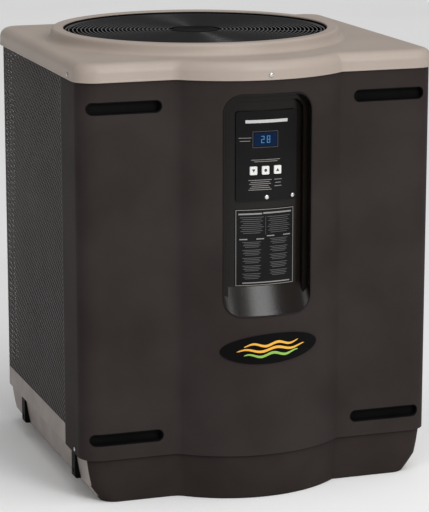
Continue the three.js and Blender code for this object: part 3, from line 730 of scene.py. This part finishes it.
def make_control_plate():
    back = BAY_FLOOR + GAP
    plate = bent_plate("control_plate_face", columns_of(*rect_of("control_plate", 0.006)), back, PLATE_FACE)
    for node in ("button_down", "button_mode", "button_up"):
        low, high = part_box(node)
        combine(plate, bent_plate("opening", around(low, high, 0.0006, 0.0026), 0.26, 0.30))
    low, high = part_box("display_window")
    combine(plate, bent_plate("opening", around(low, high, 0.0004, 0.003), 0.26, 0.30))
    place(soften(plate, 0.0005), "plate", "printed_plate", ["control_plate"])
    lens = columns_of(*rect_of("display_window", 0.003))
    window = bent_plate("display_window_lens", lens, back, WINDOW_FACE)
    place(soften(window, 0.0005), "lens", "display_lens", ["display_window"])
    sheet = columns_of(*rect_of("instruction_plate", 0.003))
    label = bent_plate("instruction_plate_face", sheet, back, LABEL_FACE)
    place(soften(label, 0.0003), "plate", "printed_plate", ["instruction_plate"])


def printed(name, rects, radius, material, slot="printed_plate", body="cabinet"):
    """Thin raised print: small rectangles (x0, x1, z0, z1) that follow the bulge."""
    parts = []
    for x0, x1, z0, z1 in rects:
        steps = max(2, int((x1 - x0) / 0.006))
        columns = [(x0 + (x1 - x0) * i / steps, z0, z1) for i in range(steps + 1)]
        parts.append(bent_plate("mark", columns, radius + 0.00002, radius + 0.00022))
    place(soften(merge(name, parts), 0), material, slot, body=body)


def frame_marks(x0, x1, z0, z1, line):
    return [(x0, x1, z1 - line, z1), (x0, x1, z0, z0 + line), (x0, x0 + line, z0 + line, z1 - line),
            (x1 - line, x1, z0 + line, z1 - line)]


def digit_marks(x, z, lit, width=0.0075, height=0.016, line=0.0014):
    """A seven-part digit; lit names its parts: a top, b c right, d bottom, e f left, g middle."""
    mid = z + height / 2
    parts = {
        "a": (x, x + width, z + height - line, z + height),
        "g": (x, x + width, mid - line / 2, mid + line / 2),
        "d": (x, x + width, z, z + line),
        "f": (x, x + line, mid, z + height),
        "b": (x + width - line, x + width, mid, z + height),
        "e": (x, x + line, z, mid),
        "c": (x + width - line, x + width, z, mid),
    }
    return [parts[p] for p in lit]


LINE = 0.0013
UNEVEN = (0.04, 0.22, 0.10, 0.30, 0.16)


def text_lines(x0, x1, top, count, pitch):
    """Centred rows of uneven length that stand in for wording."""
    rows = []
    for k in range(count):
        cut = (x1 - x0) * UNEVEN[k % len(UNEVEN)] / 2
        rows.append((x0 + cut, x1 - cut, top - k * pitch - LINE, top - k * pitch))
    return rows


def make_control_prints():
    low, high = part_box("display_window")
    middle = (low.x + high.x) / 2
    digits = digit_marks(middle - 0.0105, low.z + 0.007, "abged")
    digits += digit_marks(middle + 0.003, low.z + 0.007, "abgcdef")
    printed("display_digits", digits, WINDOW_FACE, "blue_print", "display_lens")
    margin = 0.0035
    border = frame_marks(low.x - margin, high.x + margin, low.z - margin, high.z + margin, 0.0009)
    printed("display_border", border, PLATE_FACE, "dim_print")
    plate_low, plate_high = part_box("control_plate")
    title = (plate_low.x + 0.021, plate_high.x - 0.024, plate_high.z - 0.0265, plate_high.z - 0.0195)
    printed("control_plate_title", [title], PLATE_FACE, "title_print")
    button_low, button_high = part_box("button_mode")
    marks = text_lines(plate_low.x + 0.005, low.x - 0.006, low.z + 0.020, 2, 0.007)
    marks += text_lines(low.x - 0.008, high.x + 0.010, button_high.z + 0.015, 2, 0.004)
    marks += text_lines(low.x - 0.014, middle + 0.016, button_low.z - 0.012, 6, 0.0044)
    marks += text_lines(middle + 0.021, middle + 0.040, button_low.z - 0.012, 3, 0.0075)
    printed("control_plate_print", marks, PLATE_FACE, "pale_print")


def make_instruction_prints():
    low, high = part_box("instruction_plate")
    margin = 0.001
    border = frame_marks(low.x + margin, high.x - margin, low.z + margin, high.z - margin, 0.0012)
    printed("instruction_border", border, LABEL_FACE, "pale_print")
    split = (low.x + high.x) / 2
    columns = ((low.x + 0.009, split - 0.004), (split + 0.003, high.x - 0.009))
    header = [(low.x + 0.007, split - 0.009, high.z - 0.0125, high.z - 0.009),
              (split - 0.006, high.x - 0.007, high.z - 0.0115, high.z - 0.008),
              (low.x + 0.016, high.x - 0.010, low.z + 0.006, low.z + 0.0085)]
    marks = [(split - 0.0005, split + 0.0002, high.z - 0.060, high.z - 0.017)]
    for side, (x0, x1) in enumerate(columns):
        marks += text_lines(x0, x1, high.z - 0.018, 9, 0.0045)
        sub = high.z - (0.070, 0.064)[side]
        header.append((x0, x0 + 0.018, sub, sub + 0.0024))
        header.append((x1 - 0.018, x1, sub, sub + 0.0024))
        for paragraph in range(5):
            marks += text_lines(x0 + 0.006, x1 - 0.006, sub - 0.005 - 0.0183 * paragraph, 4, 0.0037)
    printed("instruction_headings", header, LABEL_FACE, "pale_print")
    printed("instruction_print", marks, LABEL_FACE, "dim_print")


def make_buttons():
    marks = {"button_down": -1, "button_mode": 0, "button_up": 1}
    for node, way in marks.items():
        low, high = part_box(node)
        columns = columns_of(low.x, high.x, low.z, high.z, 0.002)
        cap = column_solid(f"{node}_cap", columns, lambda x: low.y, lambda x: high.y)
        place(soften(cap, 0.0009, 3), "white", "white_button", [node], node)
        middle = (low + high) / 2
        rise = 0.0034
        if way:
            columns = [(middle.x - 0.004, middle.z - way * rise, middle.z - way * rise + 0.0001),
                       (middle.x, *sorted((middle.z - way * rise, middle.z + way * rise))),
                       (middle.x + 0.004, middle.z - way * rise, middle.z - way * rise + 0.0001)]
        else:
            turn = [math.pi * k / 12 for k in range(13)]
            columns = [(middle.x - 0.0034 * math.cos(a), middle.z - 0.0034 * math.sin(a) - 0.0001,
                        middle.z + 0.0034 * math.sin(a) + 0.0001) for a in turn]
        mark = column_solid(f"{node}_mark", columns, lambda x: low.y - 0.0002, lambda x: low.y - 0.00002)
        place(soften(mark, 0), "dark_print", "printed_plate", body=node)


def make_badge():
    low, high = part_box("front_badge")
    middle = (low + high) / 2
    half, rise, tilt = (high.x - low.x) / 2, 0.0349, 0.035
    turn = [math.pi * k / 48 for k in range(49)]

    shrink = 0.0005
    oval = []
    for a in turn:
        across, up = -(half - shrink) * math.cos(a), (rise - shrink) * math.sin(a) + 0.00005
        oval.append((middle.x + across, middle.z - up + tilt * across, middle.z + up + tilt * across))
    plate = bent_plate("front_badge_plate", oval, 0.3003, BADGE_FACE)
    place(soften(plate, 0.001, 3), "matte", "black_plastic", ["front_badge"])
    for k, (offset, material, reach) in enumerate(((0.011, "amber", 0.066), (-0.001, "amber", 0.082),
                                                    (-0.013, "green", 0.066))):
        columns = []
        for i in range(41):
            t = 2 * i / 40 - 1
            x = middle.x + reach * t
            z = middle.z + offset + 0.0036 * math.sin(t * 7.0 + 0.6 * k) + tilt * (x - middle.x)
            thick = 0.0003 + 0.0027 * math.sqrt(max(0.0, 1 - t * t))
            columns.append((x, z - thick, z + thick))
        wave = bent_plate(f"badge_wave_{k + 1}", columns, BADGE_FACE + 0.00002, BADGE_FACE + 0.0004)
        place(soften(wave, 0), material, "printed_plate")


# ---- screws and carried-over parts --------------------------------------------------------------
# Radius and height of a screw head's outline, from its underside to its crown.
HEAD_PROFILE = [(0.0001, 0.0003), (0.0048, 0.0003), (0.0050, 0.0008), (0.0044, 0.0017), (0.0030, 0.0023),
                (0.0001, 0.0025)]
RECESS_LONG, RECESS_WIDE = 0.0028, 0.00055


def make_screw(node):
    """A domed head with a cross recess, standing on the CAD screw's own axis."""
    low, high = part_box(node)
    size = high - low
    middle = (low + high) / 2
    if abs(size.x - 0.007) < 0.0006 and size.y > 0.009:
        outward = Vector((1 if middle.x > 0 else -1, 0, 0))
    else:
        outward = Vector((middle.x - BULGE_X, middle.y - BULGE_Y, 0)).normalized()
    screw = turned("head", HEAD_PROFILE, Vector((0, 0, 0)), 32, closed=False)
    for half_x, half_y in ((RECESS_WIDE, RECESS_LONG), (RECESS_LONG, RECESS_WIDE)):
        corners = ((-half_x, -half_y), (half_x, -half_y), (half_x, half_y), (-half_x, half_y))
        verts = [(x, y, z) for z in (0.0012, 0.004) for x, y in corners]
        combine(screw, turn_outward(new_object("recess", verts, box_faces())))
    seat = middle + outward * 0.001
    tilt = Vector((0, 0, 1)).rotation_difference(outward).to_matrix().to_4x4()
    screw.data.transform(Matrix.Translation(seat) @ tilt)
    screw.name = f"{node}_head"
    place(soften(screw, 0), "steel", "steel_screw", [node])


def at_corners(name):
    return [f"{name}_{end}_{side}" for end in ("front", "rear") for side in ("left", "right")]


CARRIED = {
    # Painted shade: the slot liners are coloured black so that the slots read as deep shade.
    "black": [*SLOT_LINERS, *at_corners("hold_down"), "condensate_drain", "conduit_gland", "heat_exchanger",
              "water_inlet_union", "water_outlet_union", "union_nut_inlet", "union_nut_outlet", "contactor"],
    "galvanised": [*at_corners("corner_post"), "electrical_box"],
    "fins": ["evaporator_coil"],
    "paint": ["compressor", "accumulator"],
    "copper": ["filter_drier", "suction_line", "discharge_line", "liquid_line"],
    "rubber": at_corners("compressor_grommet"),
    "steel": ["fan_shaft", "run_capacitor"],
    "plate": ["control_board"],
}


def finish_carried_parts():
    for material, nodes in CARRIED.items():
        for node in nodes:
            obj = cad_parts[node]
            paint(obj, material)
            obj.data.shade_smooth()
            obj.data.set_sharp_from_angle(angle=math.radians(35))


# ---- floor, light and camera --------------------------------------------------------------------
def make_stage():
    reach, drop = 60.0, -0.0004
    corners = [(-reach, -reach, drop), (reach, -reach, drop), (reach, reach, drop), (-reach, reach, drop)]
    floor = new_object("studio_floor", corners, [[0, 1, 2, 3]])
    paper = surface("floor_paper", (0.80, 0.80, 0.80), (0.82, 0.82, 0.82), 0.8, blotch=1.0)
    floor.data.materials.append(paper)
    world = bpy.data.worlds.new("studio")
    world.use_nodes = True
    world.node_tree.nodes["Background"].inputs["Color"].default_value = (1, 1, 1, 1)
    world.node_tree.nodes["Background"].inputs["Strength"].default_value = 0.36
    bpy.context.scene.world = world
    bpy.context.scene.view_settings.view_transform = "Standard"


def softbox(name, location, size, power):
    light = bpy.data.lights.new(name, "AREA")
    light.shape = "DISK"
    light.size = size
    light.energy = power
    obj = bpy.data.objects.new(name, light)
    obj.location = location
    aim = Vector((0, 0, 0.5)) - Vector(location)
    obj.rotation_euler = aim.to_track_quat("-Z", "Y").to_euler()
    bpy.context.scene.collection.objects.link(obj)


def overhead_light(strength):
    """An even wash over the whole floor, from above and a little in front."""
    light = bpy.data.lights.new("overhead_light", "SUN")
    light.energy = strength
    light.angle = math.radians(60)
    obj = bpy.data.objects.new("overhead_light", light)
    obj.rotation_euler = (math.radians(20), math.radians(12), 0)
    bpy.context.scene.collection.objects.link(obj)


def make_camera():
    azimuth, tilt = math.radians(-18.71), math.radians(12.58)
    distance, aside, height = 5.5557, 0.0145, 1.7162
    camera = bpy.data.cameras.new("camera")
    camera.sensor_width = 36
    camera.lens = 164.13
    camera.clip_end = 60
    obj = bpy.data.objects.new("camera", camera)
    right = Vector((math.cos(azimuth), math.sin(azimuth), 0))
    ahead = Vector((-math.sin(azimuth), math.cos(azimuth), 0))
    forward = ahead * math.cos(tilt) - Vector((0, 0, math.sin(tilt)))
    up = right.cross(forward)
    location = -ahead * distance + right * aside + Vector((0, 0, height))
    basis = Matrix((right, up, -forward)).transposed().to_4x4()
    obj.matrix_world = Matrix.Translation(location) @ basis
    bpy.context.scene.collection.objects.link(obj)
    bpy.context.scene.camera = obj


make_stage()
softbox("key_light", (1.2, -4.6, 2.8), 2.0, 120)
softbox("fill_light", (-3.4, -2.8, 2.4), 1.2, 24)
overhead_light(1.6)
make_camera()
make_front_shell()
make_service_panel()
make_base()
make_guard("left_guard_mesh", left_guard_path, "left_coil_guard")
make_guard("rear_guard_mesh", rear_guard_path, "rear_coil_guard")
make_top_cover()
make_fan_guard()
make_fan_motor()
make_fan()
make_control_tub()
make_control_plate()
make_control_prints()
make_instruction_prints()
make_buttons()
make_badge()
for screw_node in [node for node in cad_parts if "_screw" in node]:
    make_screw(screw_node)
finish_carried_parts()
